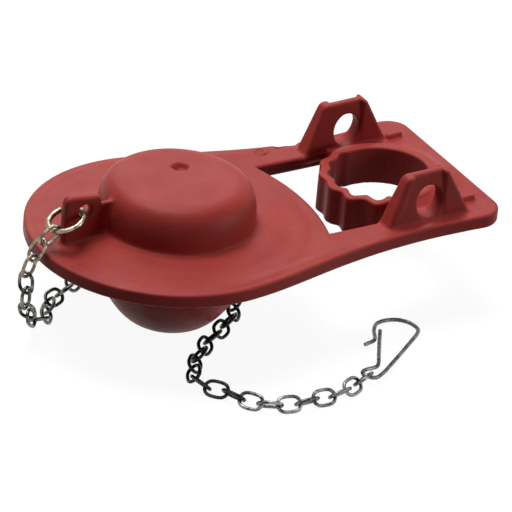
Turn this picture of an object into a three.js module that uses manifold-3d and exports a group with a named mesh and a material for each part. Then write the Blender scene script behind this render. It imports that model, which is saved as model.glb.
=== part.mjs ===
// Toilet flapper: one rubber moulding with a float bulb, a ring through its chain tab, a chain of
// loose links and a wire hook. Millimetres, +Z up. The origin is the middle of the bulb's flat foot,
// on the surface that the flapper and its chain lie on; +X runs from the bulb to the pivot ears.

import * as THREE from 'three';
import { mergeVertices } from 'three/addons/utils/BufferGeometryUtils.js';
import Module from 'manifold-3d';

const wasm = await Module();
wasm.setup();

// Plate: a round sealing disc that runs out into an open frame
const discRadius = 42;
const discCentreX = -2;
const plateThickness = 4.2;
const plateEdgeRound = 0.8;
const frameEndX = 93.2;
const waistHalfWidth = 30.3;
const waistX = 68;
const endHalfWidth = 31.5;
const endCornerRadius = 6.6;
const frameLift = 1.8;
const liftStartX = 40;

// Window between the disc and the collar
const windowHalfWidth = 21.4;
const windowCornerX = 39.2;
const windowBulge = 3.4;
const windowEndX = 63;

// Float bulb below and dome above
const bulbDepth = 26.3;
const bulbRadius = 24.2;
const bulbFootRadius = 10;
const bulbRoundness = 1.6;
const domeHeight = 14.8;
const domeRadius = 23.1;
const domeCrownRadius = 15;
const domeRoundness = 2.8;
const domeFillet = 1;
const discRise = 1.9;
const gateX = 3.6;
const gateY = 5.8;
const gateRadius = 2.4;
const gateDepth = 0.8;

// Collar for the overflow tube: smooth half on the frame's end, pleated half over the window
const tubeDiameter = 28.6;
const tubeClearance = 0.1;
const collarWall = 2.9;
const collarAbovePlate = 2.9;
const collarHeight = 11.8;
const collarShoulder = 5.5;
const pleatCount = 14;
const pleatDepth = 1.05;
const pleatPhase = THREE.MathUtils.degToRad(185);
const pleatStart = THREE.MathUtils.degToRad(102);
const pleatDeepFrom = THREE.MathUtils.degToRad(-168);
const pleatShallow = 0.5;

// Pivot ears, one each side of the collar, with their holes over the collar's middle
const pivotX = 68.6;
const earHeight = 15;
const earThickness = 6;
const earOuterY = 27;
const earFootFront = 12.8;
const earFootRear = 14.6;
const earTopFront = 7;
const earTopRear = 6.8;
const earCornerRadius = 1.4;
const earFlange = 2.8;
const earOuterLean = 1;
const earWebLean = 2.5;
const earInnerLean = 1.3;
const pivotHoleWidth = 8.6;
const pivotHoleTall = 10;
const pivotHoleHeight = 6;
const pivotHoleOffset = 0.9;
const ribLength = 5;
const ribHeight = 1.6;
const ribWidth = 1.8;
const ribInset = 1;

// Chain tab between the dome and the rim
const tabSetback = 6.6;
const tabLength = 11.6;
const tabHeight = 15.6;
const tabFall = 0.8;
const tabThickness = 3;
const tabCornerRadius = 2.4;
const tabHeelRadius = 1.6;
const tabNeckThickness = 1.6;
const tabNeckDrop = 3;
const tabHoleInset = 6.5;
const tabHoleHeight = 10.5;
const tabHoleDiameter = 4.2;

// Ring, chain and hook
const ringRadius = 5.2;
const ringWire = 1.7;
const ringDroop = THREE.MathUtils.degToRad(22);
const ringOpen = THREE.MathUtils.degToRad(288);
const ringGap = THREE.MathUtils.degToRad(14);
const linkWire = 1.05;
const linkLength = 8.1;
const linkWidth = 5.6;
const linkPitch = 5.6;
const linkCount = 44;
const hookWire = 1.2;
const runningGap = 0.3;

// Levels that everything else is set out from
const underside = bulbDepth;
const plateTop = bulbDepth + plateThickness;
const collarTop = plateTop + collarAbovePlate;
const collarBoreRadius = tubeDiameter / 2 + tubeClearance;
const rimX = discCentreX - discRadius;
const tabOuterX = rimX + tabSetback;
const overlap = 1;

const rubber = new THREE.MeshStandardMaterial({ color: 0xa54a46, roughness: 0.55, metalness: 0 });
const brass = new THREE.MeshStandardMaterial({ color: 0xb9a57e, roughness: 0.35, metalness: 1 });
const steel = new THREE.MeshStandardMaterial({ color: 0x8a8a8c, roughness: 0.35, metalness: 1 });

// A closed solid from a geometry, whatever order its faces were built in
function solid(geometry) {
  const bare = geometry.index ? geometry.toNonIndexed() : geometry.clone();
  bare.deleteAttribute('normal');
  bare.deleteAttribute('uv');
  const merged = mergeVertices(bare, 1e-4);
  const corners = merged.attributes.position.array;
  const faces = [];
  for (let i = 0; i < merged.index.count; i += 3) {
    const face = [merged.index.getX(i), merged.index.getX(i + 1), merged.index.getX(i + 2)];
    if (new Set(face).size === 3) faces.push(...face);
  }
  return new wasm.Manifold(new wasm.Mesh({
    numProp: 3,
    vertProperties: new Float32Array(corners),
    triVerts: new Uint32Array(faces),
  }));
}

function geometryOf(body) {
  const mesh = body.getMesh();
  const geometry = new THREE.BufferGeometry();
  geometry.setAttribute('position', new THREE.BufferAttribute(mesh.vertProperties.slice(), 3));
  geometry.setIndex(new THREE.BufferAttribute(mesh.triVerts.slice(), 1));
  geometry.computeVertexNormals();
  return geometry;
}

// A turned solid about Z, from (radius, height) points that start and end on the axis
function turned(profile, segments = 48) {
  const points = profile.map(([radius, height]) => new THREE.Vector2(radius, height));
  if (THREE.ShapeUtils.area(points) < 0) points.reverse();
  return new THREE.LatheGeometry(points, segments).rotateX(Math.PI / 2);
}

// A flat outline in XY, raised from one level to another
function raised(shape, bottom, top, round = 0, segments = 14) {
  return new THREE.ExtrudeGeometry(shape, {
    depth: top - bottom - 2 * round,
    bevelEnabled: round > 0,
    bevelThickness: round,
    bevelSize: round,
    bevelOffset: -round,
    bevelSegments: 1,
    curveSegments: segments,
  }).translate(0, 0, bottom + round);
}

// A flat outline in XZ, standing between two values of Y
function standing(shape, fromY, toY, round = 0) {
  return raised(shape, -toY, -fromY, round, 5).rotateX(Math.PI / 2);
}

// Quarter of a rounded-square curve between two radii: 0 at its foot, 1 at its crown
function crownProfile(outer, inner, bottom, top, roundness, steps) {
  const points = [];
  for (let i = 0; i <= steps; i += 1) {
    const angle = (i / steps) * Math.PI / 2;
    points.push([
      inner + (outer - inner) * Math.cos(angle) ** (2 / roundness),
      bottom + (top - bottom) * Math.sin(angle) ** (2 / roundness),
    ]);
  }
  return points;
}

// Half of the plate's edge, from the disc's far left round to the middle of the frame's end
function plateOutline() {
  const leave = THREE.MathUtils.degToRad(84);
  const leaveX = discCentreX + discRadius * Math.cos(leave);
  const leaveY = discRadius * Math.sin(leave);
  const flank = 20;
  const waistLead = waistX - liftStartX;
  const cornerX = frameEndX - endCornerRadius;
  const flankX = leaveX + flank * Math.sin(leave);
  const flankY = leaveY - flank * Math.cos(leave);
  const outline = new THREE.Shape();
  outline.absarc(discCentreX, 0, discRadius, leave, Math.PI, false);
  outline.absarc(discCentreX, 0, discRadius, Math.PI, 2 * Math.PI - leave, false);
  outline.bezierCurveTo(flankX, -flankY, waistX - waistLead, -waistHalfWidth, waistX, -waistHalfWidth);
  outline.quadraticCurveTo((waistX + cornerX) / 2, -waistHalfWidth, cornerX, -endHalfWidth);
  outline.absarc(cornerX, endCornerRadius - endHalfWidth, endCornerRadius, -Math.PI / 2, 0, false);
  outline.absarc(cornerX, endHalfWidth - endCornerRadius, endCornerRadius, 0, Math.PI / 2, false);
  outline.quadraticCurveTo((waistX + cornerX) / 2, waistHalfWidth, waistX, waistHalfWidth);
  outline.bezierCurveTo(waistX - waistLead, waistHalfWidth, flankX, flankY, leaveX, leaveY);
  return outline;
}

// The window's edge on the disc's side is an arc that bulges towards the collar
function windowOutline() {
  const chord = windowHalfWidth;
  const radius = (chord ** 2 + windowBulge ** 2) / (2 * windowBulge);
  const centreX = windowCornerX + windowBulge - radius;
  const sweep = Math.asin(chord / radius);
  const outline = new THREE.Path();
  outline.moveTo(windowEndX, -windowHalfWidth);
  outline.lineTo(windowEndX, windowHalfWidth);
  outline.absarc(centreX, 0, radius, sweep, -sweep, true);
  outline.lineTo(windowEndX, -windowHalfWidth);
  return outline;
}

// Radius of the collar's wall at an angle: round towards the end and pleated towards the disc,
// deeply on the near side and less on the far one. side is 1 for the outer face, -1 for the inner.
function collarRadius(angle, side) {
  const fade = 0.12;
  const turn = Math.atan2(Math.sin(angle), Math.cos(angle));
  const pleated = THREE.MathUtils.smoothstep(Math.abs(turn), pleatStart - fade, pleatStart + fade);
  const near = THREE.MathUtils.smoothstep(turn, pleatDeepFrom - fade, pleatDeepFrom + fade);
  const deep = turn < 0 ? near : 0;
  const depth = pleatDepth * THREE.MathUtils.lerp(pleatShallow, 1, deep) * pleated;
  const round = collarBoreRadius + collarWall * (1 + side) / 2;
  return round + depth * (1 + Math.cos(pleatCount * (angle - pleatPhase)));
}

function collarOutline(side, shape) {
  const steps = 7 * pleatCount;
  for (let i = 0; i < steps; i += 1) {
    const angle = (i / steps) * 2 * Math.PI;
    const radius = collarRadius(angle, side);
    const x = pivotX + radius * Math.cos(angle);
    const y = radius * Math.sin(angle);
    if (i === 0) shape.moveTo(x, y);
    else shape.lineTo(x, y);
  }
  shape.closePath();
  return shape;
}

function plate() {
  const outline = plateOutline();
  outline.holes.push(windowOutline());
  const sheet = solid(raised(outline, underside, plateTop, plateEdgeRound));
  const riseEdge = discRadius + discCentreX - 2 * plateEdgeRound;
  const rise = turned([
    [0, plateTop - overlap], [riseEdge, plateTop - overlap], [riseEdge, plateTop - 0.05],
    [domeRadius + domeFillet, plateTop + discRise], [0, plateTop + discRise],
  ]);
  return sheet.add(solid(rise));
}

function bulb() {
  const lower = crownProfile(bulbRadius, bulbFootRadius, underside, 0, bulbRoundness, 9);
  lower.push([0, 0]);
  return solid(turned([[0, underside + overlap], [bulbRadius, underside + overlap], ...lower]));
}

function dome() {
  const foot = plateTop + discRise;
  const crown = crownProfile(domeRadius, domeCrownRadius, foot + domeFillet,
    plateTop + domeHeight, domeRoundness, 9);
  const body = solid(turned([
    [0, foot - overlap], [domeRadius + domeFillet, foot - overlap], [domeRadius + domeFillet, foot],
    [domeRadius + 0.3 * domeFillet, foot + 0.3 * domeFillet], ...crown, [0, plateTop + domeHeight],
  ]));
  const gate = new THREE.CylinderGeometry(gateRadius, 0.8 * gateRadius, 2 * gateDepth, 14);
  gate.rotateX(Math.PI / 2).translate(gateX, gateY, plateTop + domeHeight);
  return body.subtract(solid(gate));
}

function collar() {
  const ring = collarOutline(1, new THREE.Shape());
  const bottom = collarTop - collarHeight;
  const shoulderRadius = collarBoreRadius + collarWall;
  const shoulder = turned([
    [0, plateTop - overlap], [shoulderRadius + collarShoulder, plateTop - overlap],
    [shoulderRadius + collarShoulder, plateTop], [shoulderRadius, collarTop], [0, collarTop],
  ]).translate(pivotX, 0, 0);
  const footprint = plateOutline();
  footprint.holes.push(windowOutline());
  const mound = solid(shoulder).intersect(solid(raised(footprint, underside, collarTop + overlap)));
  return solid(raised(ring, bottom, collarTop)).add(mound);
}

function collarBore() {
  const bore = collarOutline(-1, new THREE.Shape());
  return solid(raised(bore, -overlap, collarTop + overlap));
}

// What an ear's leaning face leaves free: nothing at the plate, and the full lean at the ear's top.
// outward is 1 for the outer face, which leans in, and -1 for the inner one, which leans out.
function leanCut(faceY, lean, outward, side) {
  const reach = earHeight + overlap;
  const freeY = faceY + outward * overlap;
  const leanY = faceY - outward * lean * reach / earHeight;
  const section = new THREE.Shape();
  section.moveTo(side * faceY, plateTop);
  section.lineTo(side * freeY, plateTop);
  section.lineTo(side * freeY, plateTop + reach);
  section.lineTo(side * leanY, plateTop + reach);
  const depth = earFootFront + earFootRear + 2 * overlap;
  return solid(new THREE.ExtrudeGeometry(section, { depth, bevelEnabled: false })
    .rotateX(Math.PI / 2).rotateZ(Math.PI / 2).translate(pivotX - earFootFront - overlap, 0, 0));
}

// An ear is a sloped front flange, a web with a hole that thins towards its top, and a rear panel
// that stands proud of the web on both sides
function ear(side) {
  const base = plateTop - overlap;
  const top = plateTop + earHeight;
  const slope = (earFootFront - earTopFront) / earHeight;
  const profile = new THREE.Shape();
  profile.moveTo(pivotX - earFootFront, base);
  profile.lineTo(pivotX + earFootRear, base);
  profile.lineTo(pivotX + earFootRear, plateTop);
  profile.lineTo(pivotX + earTopRear + 0.5 * earCornerRadius, top - earCornerRadius);
  profile.quadraticCurveTo(pivotX + earTopRear, top, pivotX + earTopRear - earCornerRadius, top);
  profile.lineTo(pivotX - earTopFront + earCornerRadius, top);
  profile.quadraticCurveTo(pivotX - earTopFront, top,
    pivotX - earTopFront - slope * earCornerRadius, top - earCornerRadius);
  profile.lineTo(pivotX - earFootFront, plateTop);

  const inner = earOuterY - earThickness;
  const fromY = side > 0 ? inner : -earOuterY;
  const block = solid(standing(profile, fromY, fromY + earThickness, 0.5));

  const holeX = pivotX + pivotHoleOffset;
  const webRear = holeX + pivotHoleWidth / 2 + 0.5;
  const web = new THREE.Shape();
  web.moveTo(pivotX - earFootFront + earFlange, plateTop);
  web.lineTo(webRear, plateTop);
  web.lineTo(webRear, top + overlap);
  web.lineTo(pivotX - earTopFront + earFlange + slope * overlap, top + overlap);
  const acrossFrom = fromY - 2 * overlap;
  const acrossTo = fromY + earThickness + 2 * overlap;
  const outerCut = leanCut(earOuterY, earWebLean, 1, side)
    .intersect(solid(standing(web, acrossFrom, acrossTo)));
  const aheadLength = webRear - pivotX + 2 * earFootFront;
  const ahead = new THREE.BoxGeometry(aheadLength, acrossTo - acrossFrom, 4 * earHeight);
  ahead.translate(webRear - aheadLength / 2, (acrossFrom + acrossTo) / 2, plateTop);
  const innerCut = leanCut(inner, earInnerLean, -1, side).intersect(solid(ahead));

  const pivot = new THREE.CylinderGeometry(pivotHoleWidth / 2, pivotHoleWidth / 2,
    earThickness + 2 * overlap, 28);
  pivot.scale(1, 1, pivotHoleTall / pivotHoleWidth);
  pivot.translate(holeX, fromY + earThickness / 2, plateTop + pivotHoleHeight);

  const rib = new THREE.BoxGeometry(ribLength + overlap, ribWidth, ribHeight + overlap);
  rib.translate(pivotX + earFootRear + (ribLength - overlap) / 2, side * (inner - ribInset + ribWidth / 2),
    plateTop + (ribHeight - overlap) / 2);
  return block.subtract(leanCut(earOuterY, earOuterLean, 1, side)).subtract(outerCut).subtract(innerCut)
    .subtract(solid(pivot)).add(solid(rib));
}

// The tab stands a little off the dome and is joined to it by a thinner neck
function chainTab() {
  const top = plateTop + tabHeight;
  const base = plateTop - overlap;
  const heelX = tabOuterX + tabLength;
  const heelTop = top - tabFall;
  const profile = new THREE.Shape();
  profile.moveTo(tabOuterX, base);
  profile.lineTo(heelX, base);
  profile.lineTo(heelX, heelTop - tabHeelRadius);
  profile.quadraticCurveTo(heelX, heelTop, heelX - tabHeelRadius, heelTop);
  profile.lineTo(tabOuterX + tabCornerRadius, top);
  profile.quadraticCurveTo(tabOuterX, top, tabOuterX, top - tabCornerRadius);
  const blade = solid(standing(profile, -tabThickness / 2, tabThickness / 2, 0.6));
  const neckFrom = heelX - overlap;
  const neckLength = -domeCrownRadius - neckFrom;
  const neckHeight = heelTop - tabNeckDrop - base;
  const neck = new THREE.BoxGeometry(neckLength, tabNeckThickness, neckHeight);
  neck.translate(neckFrom + neckLength / 2, 0, base + neckHeight / 2);
  const eye = new THREE.CylinderGeometry(tabHoleDiameter / 2, tabHoleDiameter / 2,
    tabThickness + 2 * overlap, 20);
  eye.translate(tabOuterX + tabHoleInset, 0, plateTop + tabHoleHeight);
  return { blade: blade.add(solid(neck)), eye: solid(eye) };
}

// The frame curls up a little towards its end
function lifted(geometry) {
  const place = geometry.attributes.position;
  for (let i = 0; i < place.count; i += 1) {
    const reach = Math.max(place.getX(i) - liftStartX, 0) / (frameEndX - liftStartX);
    place.setZ(i, place.getZ(i) + frameLift * reach ** 2);
  }
  geometry.computeVertexNormals();
  return geometry;
}

function flapperBody() {
  const tab = chainTab();
  const moulding = plate().add(bulb()).add(dome()).add(collar()).add(ear(1)).add(ear(-1))
    .add(tab.blade).subtract(tab.eye).subtract(collarBore());
  const mesh = new THREE.Mesh(lifted(geometryOf(moulding)), rubber);
  mesh.name = 'flapper_body';
  return mesh;
}

// A round wire along a curve, with flat ends
function wire(curve, diameter, sides, steps) {
  const section = new THREE.Shape();
  for (let i = 0; i < sides; i += 1) {
    const angle = (i / sides) * 2 * Math.PI;
    const x = diameter / 2 * Math.cos(angle);
    const y = diameter / 2 * Math.sin(angle);
    if (i === 0) section.moveTo(x, y);
    else section.lineTo(x, y);
  }
  section.closePath();
  return new THREE.ExtrudeGeometry(section, { steps, extrudePath: curve, bevelEnabled: false });
}

// The ring hangs in the tab's hole: its plane holds Y and a line that droops away from the tab
const ringInward = new THREE.Vector3(Math.cos(ringDroop), 0, Math.sin(ringDroop));
const ringAcross = new THREE.Vector3(0, -1, 0);
const ringBow = ringRadius - Math.sqrt(ringRadius ** 2 - (tabThickness / 2) ** 2);
const ringSeat = tabHoleDiameter / 2 - ringWire / 2 - ringBow - runningGap;
const ringCentre = new THREE.Vector3(tabOuterX + tabHoleInset, 0, plateTop + tabHoleHeight)
  .addScaledVector(ringInward, -ringRadius - ringSeat);

function ringPoint(angle) {
  return ringCentre.clone()
    .addScaledVector(ringInward, ringRadius * Math.cos(angle))
    .addScaledVector(ringAcross, ringRadius * Math.sin(angle));
}

class RingCurve extends THREE.Curve {
  getPoint(t, target = new THREE.Vector3()) {
    return target.copy(ringPoint(ringOpen + ringGap / 2 + t * (2 * Math.PI - ringGap)));
  }
}

function chainRing() {
  const mesh = new THREE.Mesh(wire(new RingCurve(), ringWire, 8, 24), brass);
  mesh.name = 'chain_ring';
  return mesh;
}

// A link lying on the surface leans 45 degrees, each the other way from its neighbour
const linkLean = Math.PI / 4;
const linkHalfWidth = (linkWidth - linkWire) / 2;
const linkHalfLength = (linkLength - linkWire) / 2;
const lyingHeight = linkHalfWidth * Math.sin(linkLean) + linkWire / 2;

// The chain hangs over the disc's edge, lies in a small heap, runs round behind the bulb and
// comes out in front in one loose curve
const gripAngle = THREE.MathUtils.degToRad(158);
const chainGrip = ringPoint(gripAngle);
const hangX = rimX - linkWidth / 2 - 1.6;
const chainRoute = [
  [hangX + 3.6, -2, plateTop + 3.4],
  [hangX + 1.3, -1.6, plateTop - 0.3],
  [hangX + 0.2, -1.1, plateTop - 4.6],
  [hangX - 0.1, -0.7, plateTop - 9],
  [hangX + 0.5, -0.2, plateTop - 14],
  [hangX + 1.5, 0.6, plateTop - 18.4],
  [hangX + 3, 2, plateTop - 22.2],
  [hangX + 5, 3.8, 5.8],
  [hangX + 7.8, 5.4, 3.9],
  [hangX + 11.2, 7, lyingHeight + 0.6],
  [hangX + 14.2, 9.8, lyingHeight],
  [hangX + 16, 13.8, lyingHeight],
  [hangX + 19, 17.8, lyingHeight],
  [hangX + 23.6, 19.4, lyingHeight],
  [hangX + 28, 22.4, lyingHeight],
  [-12.2, 27.8, lyingHeight],
  [-3, 29.6, lyingHeight],
  [9.2, 27.8, lyingHeight],
  [19.8, 20, lyingHeight],
  [23, 6.8, lyingHeight],
  [19.9, -4.5, lyingHeight],
  [14.4, -11.8, lyingHeight],
  [7.6, -17, lyingHeight],
  [1, -21.6, lyingHeight],
  [-4.8, -27.2, lyingHeight],
  [-10.6, -33.8, lyingHeight],
  [-12.6, -39.4, lyingHeight],
  [-11.3, -44.2, lyingHeight],
  [-7.6, -48.4, lyingHeight],
  [-5.4, -53.2, lyingHeight],
  [-1.6, -58, lyingHeight],
  [5.2, -61.2, lyingHeight],
  [14, -61.4, lyingHeight],
  [22, -61.2, lyingHeight],
  [28.6, -58.6, lyingHeight],
  [36.2, -54.6, lyingHeight],
  [50, -47, lyingHeight],
].map(([x, y, z]) => new THREE.Vector3(x, y, z));

// Equal steps of one pitch along the route: where each link hands over to the next
function chainJoints() {
  const curve = new THREE.CatmullRomCurve3([chainGrip, ...chainRoute], false, 'centripetal');
  const fine = curve.getSpacedPoints(3000);
  const start = fine[0].clone();
  const heading = fine[40].clone().sub(start).normalize();
  const reach = linkHalfLength - linkWire / 2 - ringWire / 2 - runningGap;
  const joints = [start.addScaledVector(heading, reach - linkPitch / 2)];
  for (const point of fine) {
    point.z = Math.max(point.z, lyingHeight);
    if (joints.length > linkCount) break;
    if (point.distanceTo(joints[joints.length - 1]) >= linkPitch) joints.push(point.clone());
  }
  return joints;
}

// The upward side of each link, carried back along the chain from where it lies flat
function linkFrames(joints) {
  const frames = [];
  let up = new THREE.Vector3(0, 0, 1);
  for (let i = joints.length - 2; i >= 0; i -= 1) {
    const along = joints[i + 1].clone().sub(joints[i]).normalize();
    up = up.clone().addScaledVector(along, -up.dot(along)).normalize();
    const centre = joints[i].clone().add(joints[i + 1]).multiplyScalar(0.5);
    frames.unshift({ centre, along, up: up.clone() });
  }
  return frames;
}

// A link is a ring cut in two halves that stand apart by its straight sides
function linkGeometry() {
  const geometry = new THREE.TorusGeometry(linkHalfWidth, linkWire / 2, 6, 10);
  const place = geometry.attributes.position;
  const straight = linkHalfLength - linkHalfWidth;
  for (let i = 0; i < place.count; i += 1) {
    place.setX(i, place.getX(i) + Math.sign(place.getX(i)) * straight);
  }
  return geometry;
}

const joints = chainJoints();
const frames = linkFrames(joints);

// The first link is square to the ring's wire; the links that hang take up the twist
const hangingLinks = 9;
const gripTangent = ringPoint(gripAngle + 0.01).sub(ringPoint(gripAngle - 0.01)).normalize();
const firstFrame = frames[0];
const firstSide = new THREE.Vector3().crossVectors(firstFrame.up, firstFrame.along);
const squareLean = Math.atan2(-gripTangent.dot(firstSide), gripTangent.dot(firstFrame.up));
const firstTwist = Math.atan(Math.tan(squareLean - linkLean));

function chainLinks() {
  const shape = linkGeometry();
  const gilded = 3;
  return frames.map(({ centre, along, up }, i) => {
    const twist = firstTwist * Math.max(1 - i / hangingLinks, 0);
    const lean = (i % 2 === 0 ? linkLean : -linkLean) + twist;
    const side = new THREE.Vector3().crossVectors(up, along);
    const across = side.clone().multiplyScalar(Math.cos(lean)).addScaledVector(up, Math.sin(lean));
    const normal = new THREE.Vector3().crossVectors(along, across);
    const mesh = new THREE.Mesh(shape, i < gilded ? brass : steel);
    mesh.name = `link_${String(i + 1).padStart(2, '0')}`;
    mesh.quaternion.setFromRotationMatrix(new THREE.Matrix4().makeBasis(along, across, normal));
    mesh.position.copy(centre);
    return mesh;
  });
}

// The hook's wire, as (forward, sideways) from its eye in the last link; the rest lies lower
const hookPath = [
  [9.4, 16.8], [13.2, 18.2], [14.2, 19.4], [16.7, 24], [19.4, 27], [22.9, 28], [26.6, 27.1],
  [28.9, 24.4], [29.4, 20.4], [28.4, 18.6], [20.4, 12], [12.2, 5.4], [4.6, -0.4], [2.2, -1.5],
  [0.9, -1.2], [0, 0], [-0.5, 1.3], [0, 2.5], [1.7, 3.4], [5, 3.9], [6.5, 4.8], [10.2, 10.4],
  [14.2, 16.8], [18.1, 22.9],
];

function chainHook() {
  const last = frames[frames.length - 1];
  const eyeReach = linkHalfLength - linkWire / 2 - hookWire / 2 - runningGap;
  const eye = last.centre.clone().addScaledVector(last.along, eyeReach);
  const points = hookPath.map(([forward, sideways]) => {
    const drop = THREE.MathUtils.clamp(forward / 24, 0, 1);
    const z = THREE.MathUtils.lerp(eye.z, hookWire / 2 + 0.05, drop);
    return new THREE.Vector3(eye.x + forward, eye.y + sideways, z);
  });
  const curve = new THREE.CatmullRomCurve3(points, false, 'centripetal');
  const mesh = new THREE.Mesh(wire(curve, hookWire, 6, 54), steel);
  mesh.name = 'chain_hook';
  return mesh;
}

const part = new THREE.Group();
part.add(flapperBody(), chainRing(), ...chainLinks(), chainHook());

export default part;
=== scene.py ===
from functools import reduce

import bpy
import numpy as np
from mathutils import Matrix, Vector


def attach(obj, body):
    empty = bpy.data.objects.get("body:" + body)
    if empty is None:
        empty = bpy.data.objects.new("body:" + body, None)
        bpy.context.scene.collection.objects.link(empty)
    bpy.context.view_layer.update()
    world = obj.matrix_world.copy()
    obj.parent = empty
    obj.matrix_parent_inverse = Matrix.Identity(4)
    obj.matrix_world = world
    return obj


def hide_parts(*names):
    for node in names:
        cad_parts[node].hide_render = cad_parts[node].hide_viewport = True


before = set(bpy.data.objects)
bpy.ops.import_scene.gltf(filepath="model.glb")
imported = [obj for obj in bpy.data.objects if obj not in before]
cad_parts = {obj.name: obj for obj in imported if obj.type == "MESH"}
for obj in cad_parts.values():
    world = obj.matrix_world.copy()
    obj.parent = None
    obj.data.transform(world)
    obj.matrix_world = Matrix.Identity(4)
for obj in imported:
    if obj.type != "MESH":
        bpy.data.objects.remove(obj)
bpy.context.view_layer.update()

mm = 0.001
print("frame loaded")


camera = {
    "azimuth": -32.26,      # degrees round the part, 0 looks along +Y
    "elevation": 28.74,
    "roll": 5.37,
    "target": (12.18, -25.70, 30.5),   # the point in the middle of the frame, in mm
    "focal": 5800.0,        # in pixels of the frame
    "distance": 1657.14,
    "sensor": 36.0,
    "pixels": 512.0,
    "clip": (0.05, 20.0),   # metres
}


# Looks back along the line of sight: right is level, up leans by the roll, back points at the lens
def addCamera(c):
    a, e, r = np.radians([c["azimuth"], c["elevation"], c["roll"]])
    back = np.array([np.sin(a) * np.cos(e), -np.cos(a) * np.cos(e), np.sin(e)])
    level = np.array([np.cos(a), np.sin(a), 0.0])
    rise = np.cross(back, level)
    right = level * np.cos(r) + rise * np.sin(r)
    up = rise * np.cos(r) - level * np.sin(r)
    place = (np.array(c["target"]) + back * c["distance"]) * mm
    data = bpy.data.cameras.new("photoCamera")
    data.sensor_width = c["sensor"]
    data.lens = c["focal"] * c["sensor"] / c["pixels"]
    data.clip_start, data.clip_end = c["clip"]
    lens = bpy.data.objects.new("photoCamera", data)
    turn = np.eye(4)
    turn[:3, 0], turn[:3, 1], turn[:3, 2], turn[:3, 3] = right, up, back, place
    lens.matrix_world = Matrix(turn.tolist())
    bpy.context.scene.collection.objects.link(lens)
    bpy.context.scene.camera = lens


addCamera(camera)


# Puts arrays of corners and faces into a smooth-shaded mesh, in metres
def makeMesh(name, points, faces, material):
    mesh = bpy.data.meshes.new(name)
    mesh.vertices.add(len(points))
    mesh.vertices.foreach_set("co", (points * mm).astype(np.float32).ravel())
    sides = faces.shape[1]
    mesh.loops.add(faces.size)
    mesh.loops.foreach_set("vertex_index", faces.astype(np.int32).ravel())
    mesh.polygons.add(len(faces))
    mesh.polygons.foreach_set("loop_start", np.arange(0, faces.size, sides, dtype=np.int32))
    mesh.polygons.foreach_set("use_smooth", np.ones(len(faces), dtype=bool))
    mesh.update(calc_edges=True)
    mesh.validate()
    mesh.materials.append(material)
    piece = bpy.data.objects.new(name, mesh)
    bpy.context.scene.collection.objects.link(piece)
    return piece


# A finished piece stands for its CAD nodes and rides on the one body
def standFor(piece, nodes):
    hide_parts(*nodes)
    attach(piece, "root")


# A new node; a value is one of its settings, or else the input with that name
def addNode(tree, kind, **values):
    node = tree.nodes.new(kind)
    for key, value in values.items():
        if hasattr(node, key):
            setattr(node, key, value)
        else:
            node.inputs[key.replace("_", " ")].default_value = value
    return node


def newMaterial(name):
    material = bpy.data.materials.new(name)
    material.use_nodes = True
    tree = material.node_tree
    shader = tree.nodes["Principled BSDF"]
    coords = tree.nodes.new("ShaderNodeTexCoord").outputs["Object"]
    return material, tree, shader, coords


def noiseOn(tree, coords, scale, detail=3.0, roughness=0.5):
    noise = addNode(tree, "ShaderNodeTexNoise", Scale=scale, Detail=detail, Roughness=roughness)
    tree.links.new(coords, noise.inputs["Vector"])
    return noise.outputs["Fac"]


def rampOn(tree, value, low, high, fromLow=0.3, fromHigh=0.7):
    ramp = addNode(tree, "ShaderNodeMapRange", From_Min=fromLow, From_Max=fromHigh, To_Min=low, To_Max=high)
    tree.links.new(value, ramp.inputs["Value"])
    return ramp.outputs["Result"]


def mixColours(tree, factor, first, second):
    mix = addNode(tree, "ShaderNodeMix", data_type="RGBA")
    tree.links.new(factor, mix.inputs["Factor"])
    colours = [s for s in mix.inputs if s.type == "RGBA"]
    colours[0].default_value = (*first, 1.0)
    colours[1].default_value = (*second, 1.0)
    return [s for s in mix.outputs if s.type == "RGBA"][0]


rubberLook = {
    "light": (0.340, 0.040, 0.033),
    "dark": (0.290, 0.031, 0.026),
    "cloudScale": 60.0, "cloudDetail": 4.0,
    "grainScale": 1400.0, "grainDetail": 2.0, "grainHeight": 0.00006,
    "rippleScale": 160.0, "rippleHeight": 0.0002,
    "roughness": (0.40, 0.50),
    "gloss": 0.12,
}


# Red moulded rubber: a slightly cloudy colour, a fine grain and a long soft ripple
def rubberMaterial(s):
    material, tree, shader, coords = newMaterial("redRubber")
    cloud = rampOn(tree, noiseOn(tree, coords, s["cloudScale"], s["cloudDetail"]), 0.0, 1.0)
    tree.links.new(mixColours(tree, cloud, s["dark"], s["light"]), shader.inputs["Base Color"])
    wave = noiseOn(tree, coords, s["rippleScale"])
    tree.links.new(rampOn(tree, wave, *s["roughness"]), shader.inputs["Roughness"])
    ripple = addNode(tree, "ShaderNodeBump", Strength=1.0, Distance=s["rippleHeight"])
    tree.links.new(wave, ripple.inputs["Height"])
    grain = addNode(tree, "ShaderNodeBump", Strength=1.0, Distance=s["grainHeight"])
    tree.links.new(noiseOn(tree, coords, s["grainScale"], s["grainDetail"]), grain.inputs["Height"])
    tree.links.new(ripple.outputs["Normal"], grain.inputs["Normal"])
    tree.links.new(grain.outputs["Normal"], shader.inputs["Normal"])
    shader.inputs["Specular IOR Level"].default_value = s["gloss"]
    return material


wireLook = {
    "patchScale": 420.0, "patchDetail": 4.0, "patchRoughness": 0.6, "patchBand": (0.40, 0.60),
    "dullScale": 900.0,
    "scuffScale": 2600.0, "scuffDetail": 2.0, "scuffStrength": 0.6, "scuffHeight": 0.00005,
}


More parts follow.
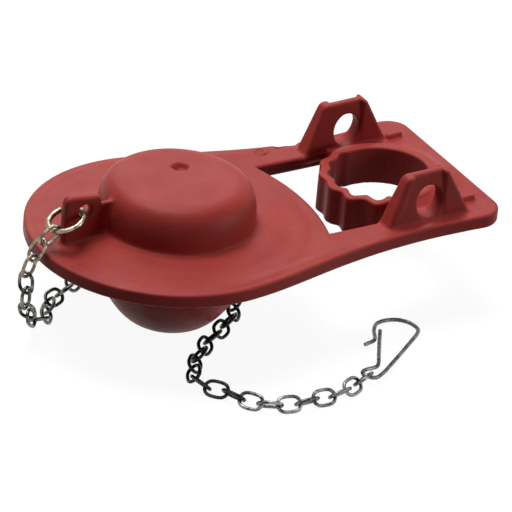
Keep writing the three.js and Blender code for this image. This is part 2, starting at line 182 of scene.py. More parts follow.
# Bent wire: a metal that is a little dull and stained in patches
def wireMaterial(name, bright, stained, roughness, s=wireLook):
    material, tree, shader, coords = newMaterial(name)
    patch = noiseOn(tree, coords, s["patchScale"], s["patchDetail"], s["patchRoughness"])
    patch = rampOn(tree, patch, 0.0, 1.0, *s["patchBand"])
    tree.links.new(mixColours(tree, patch, stained, bright), shader.inputs["Base Color"])
    dull = rampOn(tree, noiseOn(tree, coords, s["dullScale"]), *roughness)
    tree.links.new(dull, shader.inputs["Roughness"])
    scuff = addNode(tree, "ShaderNodeBump", Strength=s["scuffStrength"], Distance=s["scuffHeight"])
    tree.links.new(noiseOn(tree, coords, s["scuffScale"], s["scuffDetail"]), scuff.inputs["Height"])
    tree.links.new(scuff.outputs["Normal"], shader.inputs["Normal"])
    shader.inputs["Metallic"].default_value = 1.0
    return material


redRubber = rubberMaterial(rubberLook)
paleBrass = wireMaterial("paleBrass", (0.36, 0.31, 0.24), (0.14, 0.105, 0.07), (0.20, 0.40))
darkSteel = wireMaterial("darkSteel", (0.20, 0.195, 0.183), (0.022, 0.021, 0.019), (0.20, 0.40))
# Steel drawn near black for the links from under the disc to the chain's bend: painted shade
shadedSteel = wireMaterial("shadedSteel", (0.035, 0.033, 0.03), (0.008, 0.0075, 0.007), (0.20, 0.40))
# A lighter copy of the steel, for the last run of links
lighterSteel = wireMaterial("lighterSteel", (0.25, 0.245, 0.25), (0.045, 0.043, 0.045), (0.18, 0.36))
hookSteel = wireMaterial("hookSteel", (0.20, 0.20, 0.205), (0.075, 0.073, 0.075), (0.20, 0.34))
print("materials made")


# The moulding is one field of distances, whose zero surface is the rubber's skin. The lengths are
# in millimetres and the angles in degrees, apart from pleatFade, which is in radians.

flapper = {
    "plateTop": 30.5, "underside": 26.3, "edgeRound": 0.7,   # the sheet that the disc and frame share
    "discRadius": 42.0, "discCentreX": -2.0, "frameEndX": 93.2,
    "flankLeave": 84.0, "flankPull": 20.0,   # where a flank leaves the disc, and how far it runs on
    "waistHalf": 30.3, "waistX": 68.0, "endHalf": 31.5, "cornerRadius": 6.6,
    "windowHalf": 21.4, "windowCornerX": 39.2, "windowBulge": 3.4, "windowEndX": 63.0, "windowRound": 0.8,
    "discFadeX": 46.0, "discFadeLength": 14.0,   # the disc's relief fades out on the way to this X
    "discRise": 1.9, "riseRadius": 40.4, "riseLength": 15.6,
    "beadHeight": 0.22, "beadInset": 3.2, "beadWidth": 1.3,
    "valleyDepth": 0.16, "valleyRadius": 33.0, "valleyWidth": 2.6,
    "domeRadius": 23.1, "domeCrown": 15.0, "domeHeight": 14.8, "domeRoundness": 2.8, "domeFillet": 1.2,
    "domeRoot": 26.0, "domeSpring": 3.0,
    "bulbRadius": 24.2, "bulbFoot": 10.0, "bulbRoundness": 1.6, "bulbFillet": 1.6, "bulbRoot": 28.0,
    "pastAxis": -30.0,
    "pivotX": 68.6, "boreRadius": 14.4, "wall": 2.9, "collarTop": 33.4, "collarBottom": 21.6,
    "collarRound": 0.5, "collarFillet": 1.0, "boreRound": 0.5,
    "pleats": 14, "pleatDepth": 1.05, "pleatPhase": 185.0, "pleatStart": 102.0,
    "pleatDeepFrom": -168.0, "pleatShallow": 0.5, "pleatFade": 0.24,
    "pleatEase": 0.18,   # keeps the field's slope near 1 where the wall turns
    "moundSlope": (0.47, 0.88), "moundInset": 1.0, "moundGap": 0.1, "moundFillet": 1.2,
    "sink": 1.0,   # how far a joined piece starts inside its neighbour
    "earHeight": 15.0, "earMiddle": 24.0, "earHalf": 3.0, "earRound": 0.8, "earRoot": 2.0, "earFillet": 1.0,
    "earFoot": (12.8, 14.6), "earTop": (7.0, 6.8), "earCorner": 1.4, "flange": 2.8,
    "outerLean": 1.0, "webLean": 2.5, "innerLean": 1.3, "leanLimit": 1.2,
    "webPast": 0.5, "webOver": 3.0, "webRound": 0.7, "stepRound": 0.4,
    "holeHalf": (4.3, 5.0), "holeHeight": 6.0, "holeOffset": 0.9, "holeRound": 0.4,
    "rib": (85.7, 20.9), "ribHalf": (2.5, 0.9), "ribHeight": 1.6, "ribRound": 0.5, "ribFillet": 0.8,
    "tabOuterX": -37.4, "tabLength": 11.6, "tabHeight": 15.6, "tabFall": 0.8, "tabHalf": 1.5,
    "tabCorner": 2.4, "tabHeel": 1.6, "tabRoot": 2.0, "tabRound": 0.7, "tabFillet": 1.2,
    "neckHalf": 0.8, "neckDrop": 3.0, "neckFillet": 0.5,
    "eyeX": -30.9, "eyeHeight": 10.5, "eyeRadius": 2.1, "eyeReach": 3.0, "eyeRound": 0.5,
    "gate": (3.6, 5.8), "gateRadius": 2.3, "gateRise": 0.4, "gateStretch": 1.15, "gateRound": 0.5,
    "gateRagged": 0.05, "gateLobes": 5.0, "gatePhase": 1.0,
    "groove": (54.4, 30.1), "grooveHalf": 3.2, "grooveRadius": 1.25, "grooveRise": 0.3, "grooveRound": 0.4,
    "ejector": (44.9, 29.2), "ejectorRadius": 1.6, "ejectorRidge": 0.45, "ejectorFillet": 0.3,
    "lift": 1.8, "liftStart": 40.0,   # the frame's end curls up by this much
}
steps = {"disc": 150, "flank": 40, "window": 40, "corner": 12, "ear": 8, "heel": 8, "nose": 10}


# Joins two solids with a fillet of about the given size; with a minus on all three it cuts one
def blend(a, b, size):
    h = np.clip(0.5 + 0.5 * (b - a) / size, 0.0, 1.0)
    return b + (a - b) * h - size * h * (1.0 - h)


def cut(a, b, size):
    return -blend(-a, b, size)


# What lies in all of the given solids at once
def common(*distances):
    return reduce(np.maximum, distances)


# A bell curve: 1 in the middle, and the exponential of minus the square of the distance beside it
def bell(distance, width):
    return np.exp(-(distance / width) ** 2)


# From 0 to 1 over a band with its middle at zero: three times the square less twice the cube
def smoothStep(value, band):
    t = np.clip((value + band / 2) / band, 0.0, 1.0)
    return t * t * (3.0 - 2.0 * t)


# A bezier of any order, from its control points
def bezier(controls, count):
    t = np.linspace(0.0, 1.0, count, endpoint=False)[:, None]
    points = [np.array(c, float)[None, :] * np.ones_like(t) for c in controls]
    while len(points) > 1:
        points = [p * (1 - t) + q * t for p, q in zip(points, points[1:])]
    return points[0]


def arc(centre, radius, start, end, count):
    a = np.radians(np.linspace(start, end, count))
    return np.stack([centre[0] + radius * np.cos(a), centre[1] + radius * np.sin(a)], axis=1)


# Signed distance to a closed outline, worked out once on a fine flat grid and looked up from it:
# the nearest point of every side, with a minus where the outline winds round the place
class Outline:
    def __init__(self, corners, step=0.25, margin=9.0):
        a = np.asarray(corners, np.float32)
        b = np.roll(a, -1, axis=0)
        low, high = a.min(0) - margin, a.max(0) + margin
        self.low, self.step = low, step
        us = np.arange(low[0], high[0], step, dtype=np.float32)
        vs = np.arange(low[1], high[1], step, dtype=np.float32)
        side = b - a
        length = (side ** 2).sum(1) + 1e-12
        self.table = np.zeros((len(us), len(vs)), np.float32)
        for i, u in enumerate(us):
            du = u - a[None, :, 0]
            dv = vs[:, None] - a[None, :, 1]
            t = np.clip((du * side[:, 0] + dv * side[:, 1]) / length, 0.0, 1.0)
            gap = np.sqrt(((du - t * side[:, 0]) ** 2 + (dv - t * side[:, 1]) ** 2).min(1))
            crosses = (a[None, :, 1] > vs[:, None]) != (b[None, :, 1] > vs[:, None])
            at = a[:, 0] + (vs[:, None] - a[:, 1]) / np.where(side[:, 1] == 0, 1e-9, side[:, 1]) * side[:, 0]
            inside = (crosses & (u < at)).sum(1) % 2 == 1
            self.table[i] = np.where(inside, -gap, gap)

    def __call__(self, u, v):
        s = (u - self.low[0]) / self.step
        t = (v - self.low[1]) / self.step
        s = np.clip(s, 0.0, self.table.shape[0] - 1.001)
        t = np.clip(t, 0.0, self.table.shape[1] - 1.001)
        i, j = s.astype(np.int32), t.astype(np.int32)
        s, t = s - i, t - j
        k = self.table
        low = k[i, j] * (1 - s) + k[i + 1, j] * s
        high = k[i, j + 1] * (1 - s) + k[i + 1, j + 1] * s
        return low * (1 - t) + high * t


# The frame's edge: a round disc, two flanks that draw in to a waist and an end with round corners
def plateEdge(f):
    leave, pull = f["flankLeave"], f["flankPull"]
    top = arc((f["discCentreX"], 0.0), f["discRadius"], leave, 360.0 - leave, steps["disc"])
    down = top[-1]
    turn = np.radians(leave)
    lead = f["waistX"] - f["liftStart"]
    bend = (down[0] + pull * np.sin(turn), down[1] + pull * np.cos(turn))
    flank = bezier([down, bend, (f["waistX"] - lead, -f["waistHalf"]), (f["waistX"], -f["waistHalf"])],
                   steps["flank"])
    cornerX = f["frameEndX"] - f["cornerRadius"]
    cornerY = f["endHalf"] - f["cornerRadius"]
    waist = bezier([(f["waistX"], -f["waistHalf"]), ((f["waistX"] + cornerX) / 2, -f["waistHalf"]),
                    (cornerX, -f["endHalf"])], steps["corner"])
    corner = arc((cornerX, -cornerY), f["cornerRadius"], -90.0, 0.0, steps["corner"])
    lower = np.concatenate([flank, waist, corner])
    upper = lower[::-1] * np.array([1.0, -1.0])
    return np.concatenate([top[:-1], lower, upper[:-1]])


# The window: three straight sides, and an arc on the disc's side that bulges to the collar
def windowEdge(f):
    half, bulge = f["windowHalf"], f["windowBulge"]
    radius = (half ** 2 + bulge ** 2) / (2 * bulge)
    sweep = np.degrees(np.arcsin(half / radius))
    side = arc((f["windowCornerX"] + bulge - radius, 0.0), radius, sweep, -sweep, steps["window"])
    return np.concatenate([[(f["windowEndX"], -half), (f["windowEndX"], half)], side])


# A quarter of a rounded square between two radii, from its foot up or down to its crown
def crown(outer, inner, foot, top, roundness, count=36):
    a = np.linspace(0.0, np.pi / 2, count)
    r = inner + (outer - inner) * np.cos(a) ** (2.0 / roundness)
    z = foot + (top - foot) * np.sin(a) ** (2.0 / roundness)
    return np.stack([r, z], axis=1)


# How far the ear's front and rear edges step back for each millimetre of height
def earSlopes(f):
    return [(foot - top) / f["earHeight"] for foot, top in zip(f["earFoot"], f["earTop"])]


# An ear from the side: a sloped front, a level top with round corners and a sloped rear
def earEdge(f):
    x, base, top, root = f["pivotX"], f["plateTop"], f["plateTop"] + f["earHeight"], f["earRoot"]
    lead, trail = earSlopes(f)
    front, rear, r = x - f["earTop"][0], x + f["earTop"][1], f["earCorner"]
    foot = [(x - f["earFoot"][0] - root * lead, base - root), (x + f["earFoot"][1], base - root),
            (x + f["earFoot"][1], base)]
    back = bezier([(rear + trail * r, top - r), (rear, top), (rear - r, top)], steps["ear"])
    nose = bezier([(front + r, top), (front, top), (front - lead * r, top - r)], steps["ear"])
    return np.concatenate([foot, back, [(rear - r, top)], nose, [(front - lead * r, top - r)]])


# The web of an ear, from behind its front flange to its rear panel, open at the top
def webEdge(f):
    x, base, top, over = f["pivotX"], f["plateTop"], f["plateTop"] + f["earHeight"], f["webOver"]
    lead, _ = earSlopes(f)
    rear = x + f["holeOffset"] + f["holeHalf"][0] + f["webPast"]
    return np.array([(x - f["earFoot"][0] + f["flange"], base), (rear, base), (rear, top + over),
                     (x - f["earTop"][0] + f["flange"] + lead * over, top + over)])


# The chain tab from the side: its top falls a little from a round nose to a round heel
def tabEdge(f):
    base, top = f["plateTop"] - f["tabRoot"], f["plateTop"] + f["tabHeight"]
    left, right, low = f["tabOuterX"], f["tabOuterX"] + f["tabLength"], top - f["tabFall"]
    heel = bezier([(right, low - f["tabHeel"]), (right, low), (right - f["tabHeel"], low)], steps["heel"])
    nose = bezier([(left + f["tabCorner"], top), (left, top), (left, top - f["tabCorner"])], steps["nose"])
    return np.concatenate([[(left, base), (right, base)], heel, [(right - f["tabHeel"], low)], nose,
                           [(left, top - f["tabCorner"])]])


# Half of the dome's section, carried past the axis so that the axis itself is no edge
def domeEdge(f):
    top = f["plateTop"] + f["domeHeight"]
    curve = crown(f["domeRadius"], f["domeCrown"], f["plateTop"] + f["domeSpring"], top, f["domeRoundness"])
    return np.concatenate([[(f["pastAxis"], f["domeRoot"]), (f["domeRadius"], f["domeRoot"])], curve,
                           [(f["pastAxis"], top)]])


# The bulb's section, in the same way
def bulbEdge(f):
    curve = crown(f["bulbRadius"], f["bulbFoot"], f["underside"], 0.0, f["bulbRoundness"])
    return np.concatenate([[(f["pastAxis"], 0.0)], curve[::-1],
                           [(f["bulbRadius"], f["bulbRoot"]), (f["pastAxis"], f["bulbRoot"])]])


fineStep = 0.15
shapes = {
    "plate": Outline(plateEdge(flapper)),
    "window": Outline(windowEdge(flapper)),
    "dome": Outline(domeEdge(flapper)),
    "bulb": Outline(bulbEdge(flapper)),
    "ear": Outline(earEdge(flapper), fineStep),
    "web": Outline(webEdge(flapper), fineStep),
    "tab": Outline(tabEdge(flapper), fineStep),
}
print("outlines drawn")


# A flat outline carried between two levels, with rounded edges
def thick(flat, height, half, edge):
    u, v = flat + edge, np.abs(height) - half + edge
    return np.minimum(np.maximum(u, v), 0.0) + np.hypot(np.maximum(u, 0.0), np.maximum(v, 0.0)) - edge


# The plate less its window, with the dome on it and the bulb under it. Over the disc its top rises
# to the dome, with a low bead along the rim and a shallow valley round the dome.
def plateBody(x, y, z, flat, window, f):
    r = np.hypot(x, y)
    inDisc = np.clip((f["discFadeX"] - x) / f["discFadeLength"], 0.0, 1.0)
    climb = np.clip((f["riseRadius"] - np.hypot(x - f["discCentreX"] / 2, y)) / f["riseLength"], 0.0, 1.0)
    bead = f["beadHeight"] * bell(flat + f["beadInset"], f["beadWidth"]) * inDisc
    dip = f["valleyDepth"] * bell(r - f["valleyRadius"], f["valleyWidth"]) * inDisc
    top = f["plateTop"] + f["discRise"] * climb + bead - dip
    sheet = cut(flat, window, f["windowRound"])
    body = thick(sheet, z - (top + f["underside"]) / 2, (top - f["underside"]) / 2, f["edgeRound"])
    body = blend(body, shapes["dome"](r, z), f["domeFillet"])
    return blend(body, shapes["bulb"](r, z), f["bulbFillet"])


# The collar: a ring whose side towards the disc is pleated by a cosine of the angle, on a mound
# that slopes from its top to the plate, with the bore cut through both
def addCollar(body, x, y, z, flat, window, f):
    px = x - f["pivotX"]
    r, turn = np.hypot(px, y), np.arctan2(y, px)
    pleated = smoothStep(np.abs(turn) - np.radians(f["pleatStart"]), f["pleatFade"])
    deep = smoothStep(turn - np.radians(f["pleatDeepFrom"]), f["pleatFade"]) * (turn < 0)
    deep = f["pleatShallow"] + (1.0 - f["pleatShallow"]) * deep
    wave = 1.0 + np.cos(f["pleats"] * (turn - np.radians(f["pleatPhase"])))
    middle = f["boreRadius"] + f["wall"] / 2 + f["pleatDepth"] * deep * wave * pleated
    wall = (np.abs(r - middle) - f["wall"] / 2) * (1.0 - f["pleatEase"] * pleated)
    middleZ = (f["collarTop"] + f["collarBottom"]) / 2
    ring = thick(wall, z - middleZ, (f["collarTop"] - f["collarBottom"]) / 2, f["collarRound"])
    outward, upward = f["moundSlope"]
    slope = (r - f["boreRadius"] - f["wall"]) * outward + (z - f["collarTop"]) * upward
    mound = common(slope, flat + f["moundInset"], f["plateTop"] - f["sink"] - z, z - f["collarTop"],
                   -window - f["moundGap"])
    body = blend(blend(body, mound, f["moundFillet"]), ring, f["collarFillet"])
    return cut(body, r - middle + f["wall"] / 2, f["boreRound"])


# The ears: each is a block whose outer face leans in, less a leaning web behind its front flange,
# a leaning inner face ahead of its rear panel and an oval hole. A rib stands behind each.
def addEars(body, x, y, z, f):
    fromHole = x - f["pivotX"] - f["holeOffset"]
    across = np.abs(y) - f["earMiddle"]
    climb = np.clip((z - f["plateTop"]) / f["earHeight"], 0.0, f["leanLimit"])
    lean = f["outerLean"] * climb / 2
    ear = thick(shapes["ear"](x, z), across + lean, f["earHalf"] - lean, f["earRound"])
    web = common(shapes["web"](x, z), f["earHalf"] - f["webLean"] * climb - across)
    ear = cut(ear, web, f["webRound"])
    ahead = fromHole - f["holeHalf"][0] - f["webPast"]
    ear = cut(ear, common(ahead, across + f["earHalf"] - f["innerLean"] * climb), f["stepRound"])
    tall = (z - f["plateTop"] - f["holeHeight"]) / f["holeHalf"][1]
    hole = (np.hypot(fromHole / f["holeHalf"][0], tall) - 1.0) * f["holeHalf"][0]
    ear = cut(ear, hole, f["holeRound"])
    rib = common(np.abs(x - f["rib"][0]) - f["ribHalf"][0], np.abs(np.abs(y) - f["rib"][1]) - f["ribHalf"][1])
    rib = thick(rib, z - f["plateTop"], f["ribHeight"], f["ribRound"])
    return blend(blend(body, ear, f["earFillet"]), rib, f["ribFillet"])


# The chain tab, with the thinner neck that joins it to the dome and the eye that the ring hangs in
def addTab(body, x, y, z, f):
    tab = thick(shapes["tab"](x, z), y, f["tabHalf"], f["tabRound"])
    heel = f["tabOuterX"] + f["tabLength"]
    top = f["plateTop"] + f["tabHeight"] - f["tabFall"] - f["neckDrop"]
    neck = common(heel - f["sink"] - x, x + f["domeCrown"], np.abs(y) - f["neckHalf"], z - top,
                  f["plateTop"] - f["sink"] - z)
    body = blend(body, blend(tab, neck, f["neckFillet"]), f["tabFillet"])
    eye = np.hypot(x - f["eyeX"], z - f["plateTop"] - f["eyeHeight"]) - f["eyeRadius"]
    return cut(body, common(eye, np.abs(y) - f["eyeReach"]), f["eyeRound"])


# What the mould leaves: a ragged gate mark on the dome, a short groove and a ring round a dot
def addMarks(body, x, y, z, f):
    gx, gy = x - f["gate"][0], y - f["gate"][1]
    gz = z - f["plateTop"] - f["domeHeight"] - f["gateRise"]
    ragged = 1.0 + f["gateRagged"] * np.sin(f["gateLobes"] * np.arctan2(gy, gx) + f["gatePhase"])
    gate = np.sqrt((gx / f["gateStretch"]) ** 2 + gy ** 2 + gz ** 2) - f["gateRadius"] * ragged
    body = cut(body, gate, f["gateRound"])
    line = np.hypot(np.maximum(np.abs(x - f["groove"][0]) - f["grooveHalf"], 0.0), y - f["groove"][1])
    groove = np.hypot(line, z - f["plateTop"] - f["grooveRise"]) - f["grooveRadius"]
    body = cut(body, groove, f["grooveRound"])
    out = np.hypot(x - f["ejector"][0], y - f["ejector"][1])
    mark = np.minimum(np.abs(out - f["ejectorRadius"]), out)
    return blend(body, np.hypot(mark, z - f["plateTop"]) - f["ejectorRidge"], f["ejectorFillet"])


# Distance to the rubber, with the frame still level
def rubberDistance(x, y, z, f=flapper):
    flat, window = shapes["plate"](x, y), shapes["window"](x, y)
    body = plateBody(x, y, z, flat, window, f)
    body = addCollar(body, x, y, z, flat, window, f)
    body = addEars(body, x, y, z, f)
    body = addTab(body, x, y, z, f)
    return addMarks(body, x, y, z, f)


# The zero surface of a field on a box of unequal steps: one corner in every cell that the
# surface crosses, at the mean of its crossings, and one four-sided face for every crossed edge
def skin(distance, xs, ys, zs):
    gx, gy, gz = np.meshgrid(xs, ys, zs, indexing="ij")
    d = distance(gx, gy, gz)
    inside = d < 0
    shape = tuple(n - 1 for n in d.shape)
    corners = [(i, j, k) for i in (0, 1) for j in (0, 1) for k in (0, 1)]

    def part(array, offset):
        return array[tuple(slice(o, o + n) for o, n in zip(offset, shape))]

    count = sum(part(inside, c).astype(np.int8) for c in corners)
    cells = np.argwhere((count > 0) & (count < 8))
    index = -np.ones(shape, np.int64)
    index[tuple(cells.T)] = np.arange(len(cells))
    total = np.zeros((len(cells), 3))
    hits = np.zeros(len(cells))
    axes = (xs, ys, zs)
    for c in corners:
        for axis in range(3):
            if c[axis]:
                continue
            here = cells + np.array(c)
            there = here.copy()
            there[:, axis] += 1
            a, b = d[tuple(here.T)], d[tuple(there.T)]
            crossed = (a < 0) != (b < 0)
            t = np.where(crossed, a / np.where(crossed, a - b, 1.0), 0.0)
            for k in range(3):
                low, high = axes[k][here[:, k]], axes[k][there[:, k]]
                total[:, k] += np.where(crossed, low + t * (high - low), 0.0)
            hits += crossed
    points = total / hits[:, None]

    faces = []
    for axis in range(3):
        u, v = (axis + 1) % 3, (axis + 2) % 3
        first = [slice(None)] * 3
        second = [slice(None)] * 3
        first[axis], second[axis] = slice(0, -1), slice(1, None)
        a, b = inside[tuple(first)], inside[tuple(second)]
        edges = np.argwhere(a != b)
        leaving = a[tuple(edges.T)]
        ring = []
        for du, dv in ((-1, -1), (0, -1), (0, 0), (-1, 0)):
            cell = edges.copy()
            cell[:, u] += du
            cell[:, v] += dv
            ring.append(index[tuple(cell.T)])
        ring = np.stack(ring, axis=1)
        faces.append(np.where(leaving[:, None], ring, ring[:, ::-1]))
    return points, np.concatenate(faces)


# Moves each corner along the field's slope until the field is zero there
def settle(points, distance, rounds=3, reach=0.25, h=0.05, flattest=0.2):
    for _ in range(rounds):
        x, y, z = points.T
        slope = np.stack([
            distance(x + h, y, z) - distance(x - h, y, z),
            distance(x, y + h, z) - distance(x, y - h, z),
            distance(x, y, z + h) - distance(x, y, z - h)], axis=1) / (2 * h)
        steep = np.maximum((slope ** 2).sum(1), flattest)
        move = slope * (distance(x, y, z) / steep)[:, None]
        size = np.linalg.norm(move, axis=1)[:, None]
        points = points - move * np.minimum(1.0, reach / np.maximum(size, 1e-9))
    return points


# The frame curls up towards its end: the rise grows as the square of the distance from the disc
def lifted(points, f=flapper):
    points = points.copy()
    reach = np.maximum(points[:, 0] - f["liftStart"], 0.0) / (f["frameEndX"] - f["liftStart"])
    points[:, 2] += f["lift"] * reach ** 2
    return points


# The box that the skin is looked for in, and the size of its cells, which are longer over the disc
grid = {"fromX": -45.6, "discEndX": 42.0, "toX": 94.2, "y": (-43.7, 44.2), "z": (-1.3, 48.6),
        "discCell": 0.72, "cell": 0.5, "sideCell": 0.62, "quickTimes": 1.6}


def makeFlapper(g):
    times = 1.0
    front = np.arange(g["fromX"], g["discEndX"], g["discCell"] * times)
    rear = np.arange(front[-1] + g["cell"] * times, g["toX"], g["cell"] * times)
    xs = np.concatenate([front, rear])
    ys = np.arange(*g["y"], g["sideCell"] * times)
    zs = np.arange(*g["z"], g["cell"] * times)
    points, faces = skin(rubberDistance, xs, ys, zs)
    points = lifted(settle(points, rubberDistance))
    points[:, 2] = np.maximum(points[:, 2], 0.0)
    return makeMesh("rubberFlapper", points, faces, redRubber)


rubberFlapper = makeFlapper(grid)
standFor(rubberFlapper, ["flapper_body"])
print("flapper skinned,", len(rubberFlapper.data.polygons), "faces")


# Points along a closed or open path with a section that keeps its twist as small as it can:
# each ring of the tube is the path's point plus the radius round two normals of the path
def wireTube(path, radius, sides, closed):
    ahead = np.roll(path, -1, axis=0) - np.roll(path, 1, axis=0)
    if not closed:
        ahead[0], ahead[-1] = path[1] - path[0], path[-1] - path[-2]
    ahead /= np.linalg.norm(ahead, axis=1)[:, None]
    normal = np.zeros_like(path)
    seed = np.array([0.0, 0.0, 1.0]) if abs(ahead[0][2]) < 0.9 else np.array([1.0, 0.0, 0.0])
    for i, direction in enumerate(ahead):
        seed = seed - direction * (seed @ direction)
        seed /= np.linalg.norm(seed)
        normal[i] = seed
    other = np.cross(ahead, normal)
    a = np.linspace(0.0, 2 * np.pi, sides, endpoint=False)
    width = np.asarray(radius, float).reshape(-1, 1, 1) * np.ones((len(path), 1, 1))
    ring = normal[:, None, :] * np.cos(a)[None, :, None] + other[:, None, :] * np.sin(a)[None, :, None]
    points = (path[:, None, :] + width * ring).reshape(-1, 3)
    rows = len(path) if closed else len(path) - 1
    i, j = np.meshgrid(np.arange(rows), np.arange(sides), indexing="ij")
    n, m = (i + 1) % len(path), (j + 1) % sides
    faces = np.stack([i * sides + j, n * sides + j, n * sides + m, i * sides + m], axis=-1).reshape(-1, 4)
    return points, faces[:, ::-1]


# An open wire's ends are low domes: the radius falls off as a quarter circle over a short length
def roundedEnds(path, radius, steps=4, domeLength=0.7, tip=0.02):
    a = np.linspace(0.0, np.pi / 2, steps + 1)[1:]
    first, last = path[0] - path[1], path[-1] - path[-2]
    first, last = first / np.linalg.norm(first), last / np.linalg.norm(last)
    head = path[0] + first * (radius * domeLength * np.sin(a))[::-1, None]
    tail = path[-1] + last * (radius * domeLength * np.sin(a))[:, None]
    falling = radius * np.maximum(np.cos(a), tip)
    widths = np.concatenate([falling[::-1], np.full(len(path), radius), falling])
    return np.concatenate([head, path, tail]), widths


# A smooth path through a few points: centripetal steps, each span a cubic with shared slopes
def smoothPath(points, perSpan):
    p = np.array(points, float)
    p = np.concatenate([[2 * p[0] - p[1]], p, [2 * p[-1] - p[-2]]])
    knots = np.concatenate([[0.0], np.cumsum(np.linalg.norm(np.diff(p, axis=0), axis=1) ** 0.5)])
    out = []
    for i in range(1, len(p) - 2):
        t0, t1, t2, t3 = knots[i - 1:i + 3]
        t = np.linspace(t1, t2, perSpan, endpoint=False)[:, None]
        a1 = (t1 - t) / (t1 - t0) * p[i - 1] + (t - t0) / (t1 - t0) * p[i]
        a2 = (t2 - t) / (t2 - t1) * p[i] + (t - t1) / (t2 - t1) * p[i + 1]
        a3 = (t3 - t) / (t3 - t2) * p[i + 1] + (t - t2) / (t3 - t2) * p[i + 2]
        b1 = (t2 - t) / (t2 - t0) * a1 + (t - t0) / (t2 - t0) * a2
        b2 = (t3 - t) / (t3 - t1) * a2 + (t - t1) / (t3 - t1) * a3
        out.append((t2 - t) / (t2 - t1) * b1 + (t - t1) / (t2 - t1) * b2)
    return np.concatenate(out + [p[-2:-1]])


# Closes the two ends of an open tube with a fan to one corner each, and halves its sides
def capTube(points, faces, sides):
    count = len(points)
    first, last = points[:sides].mean(0), points[-sides:].mean(0)
    points = np.concatenate([points, [first, last]])
    j = np.arange(sides)
    m = (j + 1) % sides
    start = np.stack([j, m, np.full(sides, count)], axis=1)
    end = count - sides
    stop = np.stack([end + m, end + j, np.full(sides, count + 1)], axis=1)
    return points, np.concatenate([faces[:, [0, 1, 2]], faces[:, [0, 2, 3]], start, stop])


def makeWire(name, path, s, material, node):
    radius = s["wire"] / 2
    path, widths = roundedEnds(path, radius)
    points, faces = capTube(*wireTube(path, widths, s["sides"], False), s["sides"])
    standFor(makeMesh(name, points, faces, material), [node])


ring = {"radius": 5.2, "wire": 1.7, "droop": 22.0, "gap": 14.0, "gapAt": 288.0, "centre": (-36.4, 0.0, 38.78),
        "steps": 96, "sides": 20}


# Almost a full circle of wire, in a plane that holds Y and droops away from the tab
def ringPath(s):
    a = np.radians(np.linspace(s["gapAt"] + s["gap"] / 2, s["gapAt"] + 360.0 - s["gap"] / 2, s["steps"]))
    droop = np.radians(s["droop"])
    inward = np.array([np.cos(droop), 0.0, np.sin(droop)])
    return (np.array(s["centre"]) + s["radius"] * np.cos(a)[:, None] * inward
            + s["radius"] * np.sin(a)[:, None] * np.array([0.0, -1.0, 0.0]))


makeWire("liftRing", ringPath(ring), ring, paleBrass, "chain_ring")

# The run of links from under the disc to the bend is drawn in near-black steel as painted shade, and the last
# run in a lighter steel
chain = {"length": 8.1, "width": 5.6, "wire": 1.05, "steps": 44, "sides": 12,
         "straightness": 3.2, "pinch": 0.05,
         "gilded": 3, "shadeFrom": 24, "lighterFrom": 36}


# A link's path: a circle whose two halves are moved apart by a steep tanh, so that its sides run
# nearly straight between them
def linkPath(s):
    a = np.linspace(0.0, 2 * np.pi, s["steps"], endpoint=False)
    half = (s["width"] - s["wire"]) / 2
    straight = (s["length"] - s["wire"]) / 2 - half
    x = half * np.cos(a) + straight * np.tanh(s["straightness"] * np.cos(a))
    y = half * np.sin(a) * (1.0 - s["pinch"] * np.cos(a) ** 2)
    return np.stack([x, y, np.zeros_like(a)], axis=1)


# Where a CAD link lies: the middle of its corners and their long, middle and short directions
def linkPlace(node):
    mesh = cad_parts[node].data
    corners = np.zeros(len(mesh.vertices) * 3)
    mesh.vertices.foreach_get("co", corners)
    corners = corners.reshape(-1, 3) / mm
    corners = np.unique(corners.round(3), axis=0)
    middle = corners.mean(0)
    turn = np.linalg.svd(corners - middle, full_matrices=False)[2]
    turn[2] = np.cross(turn[0], turn[1])
    return middle, turn


def makeLinks(name, nodes, material):
    points, faces = wireTube(linkPath(chain), chain["wire"] / 2, chain["sides"], True)
    allPoints, allFaces = [], []
    for number, node in enumerate(nodes):
        middle, turn = linkPlace(node)
        allPoints.append(points @ turn + middle)
        allFaces.append(faces + number * len(points))
    standFor(makeMesh(name, np.concatenate(allPoints), np.concatenate(allFaces), material), nodes)


links = sorted(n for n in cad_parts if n.startswith("link_"))
makeLinks("gildedLinks", links[:chain["gilded"]], paleBrass)
makeLinks("steelLinks", links[chain["gilded"]:chain["shadeFrom"]], darkSteel)
# The links from under the disc to the bend are drawn near black: painted shade
makeLinks("shadedLinks", links[chain["shadeFrom"]:chain["lighterFrom"]], shadedSteel)
# The last links of the chain get the lighter copy of the steel
makeLinks("lighterLinks", links[chain["lighterFrom"]:], lighterSteel)

hook = {
    "wire": 1.2, "sides": 14, "perSpan": 14, "eyeGap": 0.3, "fallLength": 24.0, "floorGap": 0.05,
    "path": [(9.4, 16.8), (13.2, 18.2), (14.2, 19.4), (16.7, 24), (19.4, 27), (22.9, 28), (26.6, 27.1),
             (28.9, 24.4), (29.4, 20.4), (28.4, 18.6), (20.4, 12), (12.2, 5.4), (4.6, -0.4), (2.2, -1.5),
             (0.9, -1.2), (0, 0), (-0.5, 1.3), (0, 2.5), (1.7, 3.4), (5, 3.9), (6.5, 4.8), (10.2, 10.4),
             (14.2, 16.8), (18.1, 22.9)],
}


# The hook's points are laid out from its eye in the last link, and sink to the floor away from it
def hookPath(s):
    middle, turn = linkPlace(links[-1])
    along = turn[0] * np.sign(turn[0][0])
    reach = (chain["length"] - chain["wire"]) / 2 - chain["wire"] / 2 - s["wire"] / 2 - s["eyeGap"]
    eye = middle + along * reach
    flat = np.array(s["path"])
    fall = np.clip(flat[:, 0] / s["fallLength"], 0.0, 1.0)
    z = eye[2] + (s["wire"] / 2 + s["floorGap"] - eye[2]) * fall
    return smoothPath(np.column_stack([eye[0] + flat[:, 0], eye[1] + flat[:, 1], z]), s["perSpan"])


makeWire("liftHook", hookPath(hook), hook, hookSteel, "chain_hook")
print("ring, chain and hook made")


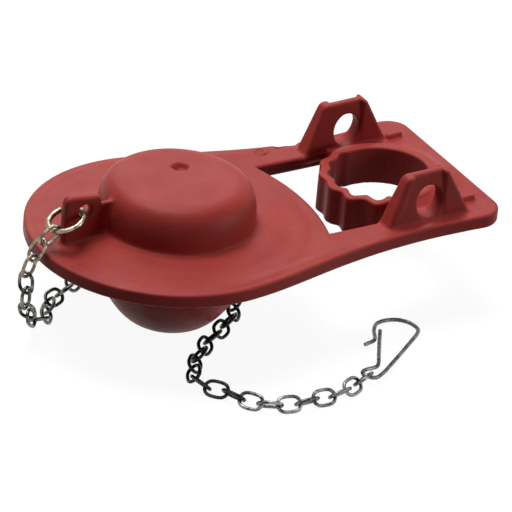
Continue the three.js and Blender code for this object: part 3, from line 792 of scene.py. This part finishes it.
# Places and sizes here are in metres, and powers in watts
studio = {
    "floorColour": (0.10, 0.10, 0.10), "floorRoughness": 0.9, "floorGloss": 0.1,
    "floorHalf": 6.0, "floorLevel": -0.00005,
    "glow": 0.93,
    "aim": (0.015, -0.005, 0.02),
    "lamps": {
        "keyLamp": {"place": (-0.06, 0.28, 1.30), "size": 0.8, "power": 17.6},
        "fillLamp": {"place": (0.95, -0.90, 0.24), "size": 0.6, "power": 4.6},
        "backLamp": {"place": (0.35, 0.95, 0.85), "size": 0.8, "power": 4.0},
    },
    "world": 0.02,
}


# 1 for the rays that show the background: from the camera, off gloss or through something clear
def showsBackground(tree):
    ray = tree.nodes.new("ShaderNodeLightPath")
    most = ray.outputs["Is Camera Ray"]
    for kind in ("Is Glossy Ray", "Is Transmission Ray"):
        larger = addNode(tree, "ShaderNodeMath", operation="MAXIMUM")
        tree.links.new(most, larger.inputs[0])
        tree.links.new(ray.outputs[kind], larger.inputs[1])
        most = larger.outputs[0]
    return most


# The floor is a wide flat sheet: grey to the light, with a white glow for the rays that show it
def addFloor(s):
    half, level = s["floorHalf"], s["floorLevel"]
    corners = np.array([[-half, -half, level], [half, -half, level], [half, half, level],
                        [-half, half, level]]) / mm
    material = bpy.data.materials.new("paleFloor")
    material.use_nodes = True
    tree = material.node_tree
    shader = tree.nodes["Principled BSDF"]
    shader.inputs["Base Color"].default_value = (*s["floorColour"], 1.0)
    shader.inputs["Roughness"].default_value = s["floorRoughness"]
    shader.inputs["Specular IOR Level"].default_value = s["floorGloss"]
    output = tree.nodes["Material Output"]
    glow = addNode(tree, "ShaderNodeEmission", Color=(1.0, 1.0, 1.0, 1.0), Strength=s["glow"])
    both = tree.nodes.new("ShaderNodeAddShader")
    pick = tree.nodes.new("ShaderNodeMixShader")
    tree.links.new(shader.outputs[0], both.inputs[0])
    tree.links.new(glow.outputs[0], both.inputs[1])
    tree.links.new(showsBackground(tree), pick.inputs[0])
    tree.links.new(shader.outputs[0], pick.inputs[1])
    tree.links.new(both.outputs[0], pick.inputs[2])
    tree.links.new(pick.outputs[0], output.inputs["Surface"])
    makeMesh("studioFloor", corners, np.array([[0, 1, 2, 3]]), material)


def addLamp(name, s, aim):
    data = bpy.data.lights.new(name, "AREA")
    data.shape = "DISK"
    data.size = s["size"]
    data.energy = s["power"]
    lamp = bpy.data.objects.new(name, data)
    lamp.location = s["place"]
    lamp.rotation_euler = (Vector(s["place"]) - Vector(aim)).to_track_quat("Z", "Y").to_euler()
    bpy.context.scene.collection.objects.link(lamp)


def addWorld(strength):
    world = bpy.data.worlds.new("studioWorld")
    bpy.context.scene.world = world
    world.use_nodes = True
    tree = world.node_tree
    light = tree.nodes["Background"]
    light.inputs["Color"].default_value = (1.0, 1.0, 1.0, 1.0)
    light.inputs["Strength"].default_value = strength
    seen = addNode(tree, "ShaderNodeBackground", Strength=1.0)
    seen.inputs["Color"].default_value = (1.0, 1.0, 1.0, 1.0)
    pick = tree.nodes.new("ShaderNodeMixShader")
    tree.links.new(showsBackground(tree), pick.inputs[0])
    tree.links.new(light.outputs[0], pick.inputs[1])
    tree.links.new(seen.outputs[0], pick.inputs[2])
    tree.links.new(pick.outputs[0], tree.nodes["World Output"].inputs["Surface"])


addFloor(studio)
for name, lamp in studio["lamps"].items():
    addLamp(name, lamp, studio["aim"])
addWorld(studio["world"])
bpy.context.scene.view_settings.view_transform = "Standard"
print("studio lit")
